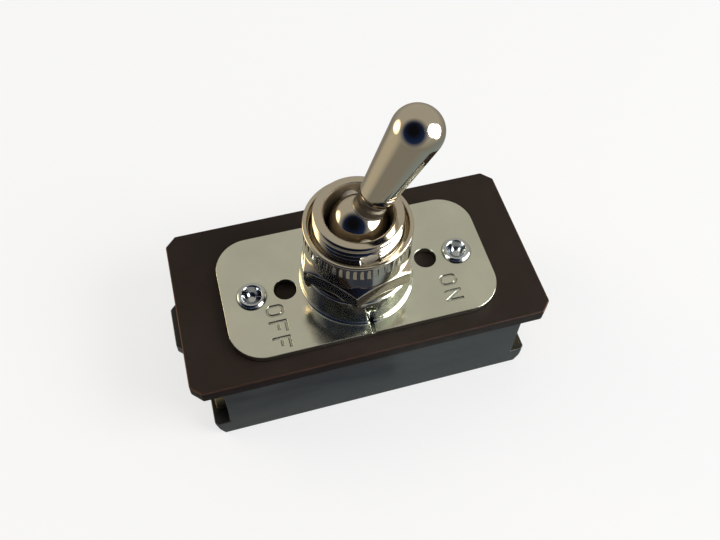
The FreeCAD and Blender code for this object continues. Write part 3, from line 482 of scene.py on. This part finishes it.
def moulded_finish(name, dark, light, shaded_ledge, smooth, rough):
    """Thermoset moulding: grey walls, ledges that face up painted black as shade, faint flow marks."""
    material, tree, shader = new_finish(name)
    flow = grain(tree, 1.0, 3.0, 0.55, FLOW_MARKS)
    walls = blend_colour(tree, rescale(tree, flow, 0.35, 0.65, 0.0, 1.0), dark, light)
    facing = add(tree, "SeparateXYZ", {0: add(tree, "NewGeometry").outputs["True Normal"]}).outputs["Z"]
    # faces that look up take the ledge colour: painted shade
    tree.links.new(blend_colour(tree, rescale(tree, facing, 0.55, 0.95, 0.0, 1.0), walls, shaded_ledge),
                   shader.inputs["Base Color"])
    tree.links.new(rescale(tree, flow, 0.3, 0.7, smooth, rough), shader.inputs["Roughness"])
    bumped(tree, shader, grain(tree, SKIN_GRAIN, 3.0, 0.6), 0.12)
    return material


# the third colour is the painted shade on the ledges
moulding = moulded_finish("dark_moulding", (0.019, 0.021, 0.022, 1.0), (0.029, 0.032, 0.033, 1.0),
                          (0.006, 0.007, 0.006, 1.0), 0.32, 0.44)
rocker_moulding = moulded_finish("brown_moulding", (0.09, 0.035, 0.02, 1.0), (0.13, 0.055, 0.03, 1.0),
                                 (0.08, 0.03, 0.02, 1.0), 0.35, 0.5)
print("mouldings:", len(moulding.node_tree.nodes), "nodes each")

# %% [markdown]
# ## Brass, silver and steel
# The terminals are punched from brass strip that has dulled in the air, the contacts are silver
# buttons, and the plunger and its spring are bright steel. One function serves all of them,
# because they differ in colour, in tarnish and in the direction of their fine scratches.

# %% Small metals
TARNISH = 320.0


def worn_metal(name, bright, dull, smooth, rough, stretch, metal=1.0):
    """A metal with patches of tarnish and scratches that run one way."""
    material, tree, shader = new_finish(name)
    shader.inputs["Metallic"].default_value = metal
    tarnish = rescale(tree, grain(tree, TARNISH, 4.0, 0.6), 0.42, 0.68, 0.0, 1.0)
    scratches = grain(tree, 1.0, 3.0, 0.6, stretch)
    tree.links.new(blend_colour(tree, tarnish, bright, dull), shader.inputs["Base Color"])
    tree.links.new(rescale(tree, scratches, 0.3, 0.7, smooth, rough), shader.inputs["Roughness"])
    bumped(tree, shader, scratches, 0.12)
    return material


brass = worn_metal("terminal_brass", (0.84, 0.68, 0.38, 1.0), (0.66, 0.51, 0.26, 1.0), 0.28, 0.44,
                   (400.0, 2600.0, 2600.0))
screw_brass = worn_metal("screw_brass", (0.70, 0.55, 0.28, 1.0), (0.55, 0.41, 0.19, 1.0), 0.18, 0.30,
                         (900.0, 1800.0, 1800.0))
silver = worn_metal("contact_silver", (0.82, 0.80, 0.76, 1.0), (0.60, 0.57, 0.52, 1.0), 0.15, 0.35,
                    (900.0, 900.0, 900.0))
pin_steel = worn_metal("pin_steel", (0.72, 0.68, 0.58, 1.0), (0.60, 0.55, 0.46, 1.0), 0.25, 0.40,
                       (900.0, 900.0, 900.0), 0.35)
steel = worn_metal("bright_steel", (0.62, 0.61, 0.58, 1.0), (0.48, 0.46, 0.43, 1.0), 0.18, 0.32,
                   (700.0, 700.0, 2500.0))
print("small metals:", ", ".join(metal.name for metal in (brass, screw_brass, silver, pin_steel, steel)))

# %% [markdown]
# ## Outlines with eased corners
# Turned parts are drawn as half a section: a list of radii and heights. A real tool never leaves
# a perfect corner, and the small roundings are what catches the light, so each corner of the
# outline may state how far back its rounding starts. Arcs are added point by point.


# %% Outline helpers
def eased(corners, steps=4):
    """An open outline in which each corner (radius, height, rounding) is rounded off."""
    points = []
    for index, (radius, height, rounding) in enumerate(corners):
        if rounding == 0 or index in (0, len(corners) - 1):
            points.append((radius, height))
            continue
        corner = Vector((radius, height))
        before = Vector(corners[index - 1][:2]) - corner
        after = Vector(corners[index + 1][:2]) - corner
        start, end = corner + before.normalized() * rounding, corner + after.normalized() * rounding
        for step in range(steps + 1):
            t = step / steps
            points.append(tuple(start.lerp(corner, t).lerp(corner.lerp(end, t), t)))
    return points


def arc(centre_radius, centre_height, radius, start, end, steps):
    """Points of an arc in the half section, with its angles in degrees from the radius axis."""
    angles = [math.radians(start + (end - start) * step / steps) for step in range(steps + 1)]
    return [(centre_radius + radius * math.cos(a), centre_height + radius * math.sin(a)) for a in angles]


def round_angles(count):
    """Equal angles once round."""
    return [2 * math.pi * index / count for index in range(count)]


print("a rounded corner has", len(eased([(0, 0, 0), (1, 0, 0.1), (1, 1, 0)])) - 2, "points")

# %% [markdown]
# ## From outline to mesh
# Spinning the outline gives a grid of points: one ring of points for each point of the outline.
# Neighbouring rings are joined by four-sided faces. A function may change the radius from point
# to point, and that is enough for a thread, for the slots of a knurled nut and for a hexagon.

# %% Turned meshes
SAME_POINT = 1e-7


def smooth_mesh(name, points, faces):
    """A smoothly shaded mesh with doubled points joined and its faces looking outwards."""
    mesh = bpy.data.meshes.new(name)
    mesh.from_pydata(points, [], faces)
    work = bmesh.new()
    work.from_mesh(mesh)
    bmesh.ops.remove_doubles(work, verts=work.verts, dist=SAME_POINT)
    bmesh.ops.recalc_face_normals(work, faces=work.faces)
    work.to_mesh(mesh)
    work.free()
    mesh.shade_smooth()
    return mesh


def turned(name, outline, angles, relief=None, loop=False):
    """Spins an outline in millimetres about Z; relief(radius, height, angle) gives the radius there."""
    relief = relief or (lambda radius, height, angle: radius)
    points = []
    for radius, height in outline:
        for angle in angles:
            here = relief(radius, height, angle) * MM
            points.append((here * math.cos(angle), here * math.sin(angle), height * MM))
    count, rows = len(angles), len(outline)
    faces = []
    for row in range(rows if loop else rows - 1):
        low, high = row * count, (row + 1) % rows * count
        faces += [(low + i, low + (i + 1) % count, high + (i + 1) % count, high + i) for i in range(count)]
    return smooth_mesh(name, points, faces)


def put(name, mesh, material, body, node_names, slot, place=Matrix.Identity(4)):
    """Puts a mesh in the scene as a piece that stands for CAD nodes and rides on their body."""
    mesh.transform(place)
    made = placed(name, mesh)
    mesh.materials.append(material)
    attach(made, body)
    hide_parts(*node_names)
    print(name, len(mesh.vertices), "points,", len(mesh.polygons), "faces")
    return made


print("mesh helpers:", ", ".join(helper.__name__ for helper in (smooth_mesh, turned, put)))

# %% [markdown]
# ## The bat lever
# Bat, neck, ball and stem are one turned piece. The bat is a cone with a round end, slim at
# its foot, with a rounded heel above a narrow groove. It is drawn upright with the pivot at its
# origin, and then leant over by the lever's angle.

# %% Lever
BALL, NECK, NECK_END, WAIST = 3.85, 2.1, 4.7, 1.8
TIP, TIP_AT, TAPER, HEEL_TOP = 3.3, 17.5, 5.0, 5.9
STEM, STEM_END, BORE, BORE_TOP = 1.6, -8.0, 1.0, -3.0
taper = math.radians(TAPER)
side_radius, side_height = TIP * math.cos(taper), TIP_AT - TIP * math.sin(taper)
heel_radius = side_radius - (side_height - HEEL_TOP) * math.tan(taper)
ball_low = math.degrees(math.acos(STEM / BALL))
ball_high = math.degrees(math.acos(NECK / BALL))
lever_outline = eased([(0, BORE_TOP, 0), (BORE, BORE_TOP, 0), (BORE, STEM_END, 0.1), (STEM, STEM_END, 0.15),
                       (STEM, -math.sqrt(BALL**2 - STEM**2), 0)])
lever_outline += arc(0, 0, BALL, -ball_low, ball_high, 56)[1:]
lever_outline += eased([(NECK, BALL * math.sin(math.radians(ball_high)) + 0.05, 0),
                        (NECK, NECK_END - 0.3, 0.12), (WAIST, NECK_END, 0.06), (WAIST, NECK_END + 0.3, 0.06),
                        (heel_radius, HEEL_TOP, 0.45), (side_radius, side_height, 0)], steps=8)[1:]
lever_outline += arc(0, TIP_AT, TIP, -TAPER, 90, 48)[1:]
lever_place = Matrix.Translation(PIVOT) @ Matrix.Rotation(LEVER_TILT, 4, "Y")
put("bat_lever", turned("bat_lever", lever_outline, round_angles(128)), lever_nickel, "toggle", ["lever"],
    "nickel", lever_place)

# %% [markdown]
# ## The plunger's spring
# Inside the stem a small coil spring presses the plunger down. A coil is a round wire swept along
# a helix: at each step a ring of points stands round the wire.

# %% Spring
WIRE_RADIUS, COIL_RADIUS, COIL_TURNS, COIL_TOP, COIL_FOOT = 0.18, 0.74, 5, -3.26, -5.64
COIL_STEPS, WIRE_POINTS = 140, 12
coil_points = []
for step in range(COIL_STEPS + 1):
    turn = 2 * math.pi * COIL_TURNS * step / COIL_STEPS
    height = COIL_FOOT + (COIL_TOP - COIL_FOOT) * step / COIL_STEPS
    for angle in round_angles(WIRE_POINTS):
        radius = COIL_RADIUS + WIRE_RADIUS * math.cos(angle)
        coil_points.append(Vector((radius * math.cos(turn), radius * math.sin(turn),
                                   height + WIRE_RADIUS * math.sin(angle))) * MM)
last_ring = COIL_STEPS * WIRE_POINTS
coil_faces = []
for ring in range(0, last_ring, WIRE_POINTS):
    for i in range(WIRE_POINTS):
        beside = (i + 1) % WIRE_POINTS
        coil_faces.append((ring + i, ring + beside, ring + WIRE_POINTS + beside, ring + WIRE_POINTS + i))
coil_faces += [tuple(reversed(range(WIRE_POINTS))), tuple(range(last_ring, last_ring + WIRE_POINTS))]
spring = put("coil_spring", smooth_mesh("coil_spring", coil_points, coil_faces), steel, "toggle",
             ["plunger_spring"], "plunger_steel", lever_place)
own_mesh(spring)

# %% [markdown]
# ## The threaded bushing
# A thread is a ridge that climbs round the cylinder, so the radius depends on height and angle
# together: one turn lifts the pattern by the pitch. The crests are flattened a little and the
# ridge fades out towards the rounded rim.

# %% Bushing
bushing_low, bushing_high = (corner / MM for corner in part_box("bushing"))
ring_low, ring_high = (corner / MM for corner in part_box("ring_nut"))
THREAD_RADIUS, THREAD_PITCH, THREAD_DEPTH, THREAD_ROWS = 5.95, 25.4 / 32, 0.34, 64
FLANGE, FLANGE_TOP, MOUTH, MOUTH_STRAIGHT, FOOT_BORE, RIM = 6.3, 20.3, 4.49, 4.75, 5.45, 0.45
rim_foot = bushing_high.z - RIM
thread_foot = ring_high.z - 1.2
thread_end = rim_foot + 0.15


def thread_relief(radius, height, angle):
    """Sinks the surface between the crests of the thread."""
    if radius < THREAD_RADIUS - 0.01 or not thread_foot < height < thread_end:
        return radius
    turn = (height / THREAD_PITCH - angle / (2 * math.pi)) % 1.0
    valley = min(1.0, 2.2 * abs(turn - 0.5)) ** 1.3
    fade = min(1.0, max(0.0, (thread_end - height) / 0.35)) * min(1.0, (height - thread_foot) / 0.2)
    return radius - THREAD_DEPTH * valley * fade


bushing_outline = [(FOOT_BORE, bushing_low.z), (FLANGE, bushing_low.z), (FLANGE, FLANGE_TOP),
                   (THREAD_RADIUS, FLANGE_TOP), (THREAD_RADIUS, thread_foot - 0.1)]
bushing_outline += [(THREAD_RADIUS, thread_foot + (rim_foot - thread_foot) * row / THREAD_ROWS)
                    for row in range(THREAD_ROWS + 1)]
bushing_outline += arc(THREAD_RADIUS - RIM, rim_foot, RIM, 0, 90, 8)[1:]
bushing_outline += arc(MOUTH + RIM, rim_foot, RIM, 90, 180, 8)
bushing_outline += [(MOUTH, bushing_high.z - MOUTH_STRAIGHT)]
bushing_mesh = turned("threaded_bushing", bushing_outline, round_angles(160), thread_relief, loop=True)
bushing = put("threaded_bushing", bushing_mesh, bushing_nickel, "root", ["bushing"], "nickel")

# %% [markdown]
# ## The cross pin's holes
# The pin that carries the lever passes through both walls of the bushing. A Boolean modifier cuts
# its two holes in one go, with a long cylinder for a drill, and the drill is thrown away after.

# %% Cross holes
PIN_HOLE, DRILL_LENGTH, DRILL_SIDES = 1.27, 20, 48


def drill(piece, radius, centre, turn):
    """Cuts a round hole right through a piece, and takes the drill away again."""
    drill_mesh = bpy.data.meshes.new("drill")
    work = bmesh.new()
    bmesh.ops.create_cone(work, cap_ends=True, segments=DRILL_SIDES, radius1=radius, radius2=radius,
                          depth=DRILL_LENGTH * MM, matrix=Matrix.Translation(centre) @ turn)
    work.to_mesh(drill_mesh)
    work.free()
    bit = placed("drill", drill_mesh)
    cut = piece.modifiers.new("hole", "BOOLEAN")
    cut.operation, cut.object, cut.solver = "DIFFERENCE", bit, "EXACT"
    drilled = bpy.data.meshes.new_from_object(piece.evaluated_get(bpy.context.evaluated_depsgraph_get()))
    piece.modifiers.clear()
    piece.data = drilled
    bpy.data.objects.remove(bit)


drill(bushing, PIN_HOLE * MM, PIVOT, Matrix.Rotation(math.pi / 2, 4, "X"))
print("cross holes drilled,", len(bushing.data.polygons), "faces")

# %% [markdown]
# ## The ring nut
# The ring nut is turned, and its upper half is cut with narrow upright slots for a spanner. Each
# slot is deep under its rounded upper end and runs out towards its foot, so its floor leans back
# a little and mirrors brighter things than the rim does. The angles are packed closely at each
# slot's walls and loosely between them, which keeps the slots sharp without too many faces.

# %% Ring nut
KNURL_COUNT, KNURL_HALF, KNURL_DEPTH, KNURL_ARCH = 50, 0.24, 0.28, 0.35
KNURL_TOP, KNURL_FOOT = ring_high.z - 0.5, ring_high.z - 2.4
KNURL_WALL, KNURL_END, KNURL_ROWS = 0.07, 0.09, 34
RING_RADIUS, RING_BORE, RING_LEAD = ring_high.x, 6.0, 0.7
pitch_half = math.pi * RING_RADIUS / KNURL_COUNT
half_offsets = [0.08, 0.17, 0.21, 0.235, 0.26, 0.29, 0.36]
knurl_offsets = [-offset for offset in reversed(half_offsets)] + half_offsets
knurl_angles = [(2 * pitch_half * slot + offset) / RING_RADIUS
                for slot in range(KNURL_COUNT) for offset in knurl_offsets]


def smooth_step(value):
    """A soft step from 0 to 1."""
    value = min(1.0, max(0.0, value))
    return value * value * (3 - 2 * value)


def knurl_relief(radius, height, angle):
    """Sinks the rim in each slot: deep under its rounded upper end, and out to nothing at its foot."""
    if radius < RING_RADIUS - 0.01:
        return radius
    across = (angle * RING_RADIUS + pitch_half) % (2 * pitch_half) - pitch_half
    top = KNURL_TOP - KNURL_ARCH * (abs(across) / KNURL_HALF) ** 2
    inside = smooth_step((KNURL_HALF + 0.03 - abs(across)) / KNURL_WALL)
    inside *= smooth_step((top - height) / KNURL_END)
    inside *= min(1.0, max(0.0, (height - KNURL_FOOT) / (KNURL_TOP - KNURL_FOOT)))
    return radius - KNURL_DEPTH * inside


ring_outline = [(RING_BORE + 0.3, ring_low.z)]
ring_outline += eased([(RING_BORE, ring_low.z, 0), (RING_RADIUS, ring_low.z, 0.25),
                       (RING_RADIUS, ring_low.z + 0.6, 0)])[1:]
# three rows close under the slots keep their shading off the plain band below
ring_outline += [(RING_RADIUS, KNURL_FOOT - gap) for gap in (0.2, 0.12, 0.06)]
ring_outline += [(RING_RADIUS, KNURL_FOOT - 0.02 + (ring_high.z - 0.3 - KNURL_FOOT) * row / KNURL_ROWS)
                 for row in range(KNURL_ROWS + 1)]
ring_outline += eased([(RING_RADIUS, ring_high.z - 0.27, 0), (RING_RADIUS, ring_high.z, 0.22),
                       (RING_BORE + RING_LEAD, ring_high.z, 0.08), (RING_BORE, ring_high.z - RING_LEAD, 0.08),
                       (RING_BORE, ring_low.z + 0.3, 0)], steps=5)
ring_mesh = turned("knurled_ring_nut", ring_outline, knurl_angles, knurl_relief, loop=True)
put("knurled_ring_nut", ring_mesh, nickel, "face_nut", ["ring_nut"], "nickel")

# %% [markdown]
# ## The hexagon nut
# A hexagon nut is a prism whose upper corners are turned off by a cone. Where cone and flats
# meet, the edge is a row of shallow arches, the mark of a real nut. Both surfaces are a radius
# that depends on angle and height, and the nut is the smaller of the two at every point.

# %% Hexagon nut
hex_low, hex_high = (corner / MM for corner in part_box("hex_nut"))
HEX_APOTHEM, HEX_TURN, HEX_BORE = 7.1, math.radians(-15.3), 6.0
HEX_BEVEL, HEX_INSET, CORNER_SOFT, BEVEL_SOFT = 0.7, 0.2, 0.12, 0.08
hex_corner = HEX_APOTHEM / math.cos(math.pi / 6)
bevel_slope = (hex_corner - (HEX_APOTHEM - HEX_INSET)) / HEX_BEVEL
FOOT_INSET, FOOT_SLOPE = 0.1, 1.2


def soft_least(first, second, width):
    """The smaller of two lengths, with the change from one to the other rounded over a width."""
    share = max(0.0, width - abs(first - second)) / width
    return min(first, second) - share * share * width / 4


def hex_relief(radius, height, angle):
    """Cuts the blank down to the hexagon and to the cones above and below it."""
    if radius < hex_corner - 0.01:
        return radius
    from_flats = [angle - HEX_TURN - math.radians(60 * k) for k in range(6)]
    sides = sorted(HEX_APOTHEM / max(0.2, math.cos(away)) for away in from_flats)
    flat = soft_least(sides[0], sides[1], CORNER_SOFT)
    cone = hex_corner + (hex_high.z - HEX_BEVEL - height) * bevel_slope
    foot_cone = hex_corner - FOOT_INSET + (height - hex_low.z) * FOOT_SLOPE
    return min(soft_least(flat, cone, BEVEL_SOFT), soft_least(flat, foot_cone, BEVEL_SOFT))


corner_parts = [0.5, 1.0, 1.8, 3, 5, 9, 14, 20, 26]
hex_angles = [HEX_TURN + math.radians(30 + 60 * side + part) for side in range(6)
              for part in [-p for p in reversed(corner_parts)] + [0] + corner_parts + [30]]
hex_rows = [hex_low.z + 0.02 * k for k in range(1, 6)] + [hex_low.z + 0.2 + 0.25 * k for k in range(8)]
hex_rows += [hex_high.z - HEX_BEVEL + (HEX_BEVEL - 0.03) * k / 14 for k in range(15)]
hex_outline = [(HEX_BORE, hex_low.z + 0.2), (HEX_BORE + 0.2, hex_low.z), (HEX_APOTHEM - 0.3, hex_low.z)]
hex_outline += [(hex_corner, h) for h in hex_rows]
hex_outline += [(HEX_APOTHEM - HEX_INSET - 0.03, hex_high.z - 0.005),
                (HEX_APOTHEM - HEX_INSET - 0.12, hex_high.z),
                (HEX_BORE + 0.3, hex_high.z), (HEX_BORE, hex_high.z - 0.3)]
hex_mesh = turned("hexagon_nut", hex_outline, hex_angles, hex_relief, loop=True)
put("hexagon_nut", hex_mesh, nickel, "backing_nut", ["hex_nut"], "nickel")

# %% [markdown]
# ## The tubular rivets
# Each rivet is a steel tube end that a tool has rolled outwards over the frame. From above it is
# a bright ring around a dark crater. The outline runs from the crater over the roll, down the
# shank and round the head under the base. One mesh holds both rivets.

# %% Rivets
rivet_low, rivet_high = (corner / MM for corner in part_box("tubular_rivets"))
ROLL_HEIGHT, RIVET_SPACING, SHANK, HEAD, HEAD_FOOT, HEAD_HEIGHT = 0.6, 29.9, 1.5, 2.6, 2.45, 1.2
plate_top = rivet_high.z - ROLL_HEIGHT
head_top = rivet_low.z + HEAD_HEIGHT
rivet_outline = eased([(0, plate_top - 0.75, 0), (0.52, plate_top - 0.72, 0.2), (1.0, plate_top - 0.3, 0.3),
                       (1.42, rivet_high.z - 0.04, 0.16), (1.72, rivet_high.z, 0.12),
                       (1.97, plate_top + 0.42, 0.16), (2.05, plate_top + 0.15, 0.12),
                       (2.02, plate_top, 0.04), (SHANK, plate_top, 0)], steps=5)
rivet_outline += [(SHANK, head_top)]
rivet_outline += eased([(SHANK, head_top, 0), (HEAD, head_top, 0.15), (HEAD_FOOT, rivet_low.z, 0.3),
                        (0, rivet_low.z, 0)])[1:]
rivet_mesh = turned("rolled_rivets", rivet_outline, round_angles(72))
work = bmesh.new()
for side in (-1, 1):
    start = len(work.verts)
    work.from_mesh(rivet_mesh)
    work.verts.ensure_lookup_table()
    bmesh.ops.translate(work, verts=work.verts[start:], vec=(side * RIVET_SPACING / 2 * MM, 0, 0))
work.to_mesh(rivet_mesh)
work.free()
put("rolled_rivets", rivet_mesh, rivet_plating, "root", ["tubular_rivets"], "rivet_steel")

# %% [markdown]
# ## CAD solids with eased edges
# The plates, the base and the inner parts already have their right shape in CAD, but their edges
# are razor sharp. Four modifiers put that right without touching the mesh: Weld joins the
# imported patches, Decimate merges flat triangles, Bevel rounds the edges and Weighted Normal
# keeps the large faces flat.

# %% Eased CAD nodes
WELD_DISTANCE, FLAT_WITHIN, SHARP_FROM, FACE_WEIGHT = 1e-6, math.radians(0.5), math.radians(30), 90


def ease(node_name, width, material, segments=2):
    """Rounds the edges of a CAD node by modifiers and gives it a finish."""
    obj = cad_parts[node_name]
    obj.modifiers.new("join", "WELD").merge_threshold = WELD_DISTANCE
    flat = obj.modifiers.new("merge_flats", "DECIMATE")
    flat.decimate_type = "DISSOLVE"
    flat.angle_limit = FLAT_WITHIN
    bevel = obj.modifiers.new("ease", "BEVEL")
    bevel.width = width * MM
    bevel.segments = segments
    bevel.limit_method = "ANGLE"
    bevel.angle_limit = SHARP_FROM
    obj.modifiers.new("flat_faces", "WEIGHTED_NORMAL").weight = FACE_WEIGHT
    obj.data.materials.clear()
    obj.data.materials.append(material)
    print(node_name, "eased by", width, "mm, in", material.name)


ease("base_housing", 0.18, moulding, 3)
ease("insulating_plate", 0.18, laminate)
ease("frame_plate", 0.06, plating)
ease("pivot_pin", 0.15, pin_steel)
ease("plunger", 0.06, steel)
ease("rocker_yoke", 0.2, rocker_moulding)
ease("terminal_screws", 0.1, screw_brass)
for side in ("front", "back"):
    ease("contact_terminal_" + side, 0.12, brass)
    ease("fulcrum_terminal_" + side, 0.12, brass)
    ease("contact_blade_" + side, 0.1, brass)
    ease("fixed_contact_" + side, 0.05, silver)
    ease("moving_contact_" + side, 0.05, silver)

# %% [markdown]
# The last cell sets the view transform to Standard.

# %% Finish
bpy.context.scene.view_settings.view_transform = "Standard"
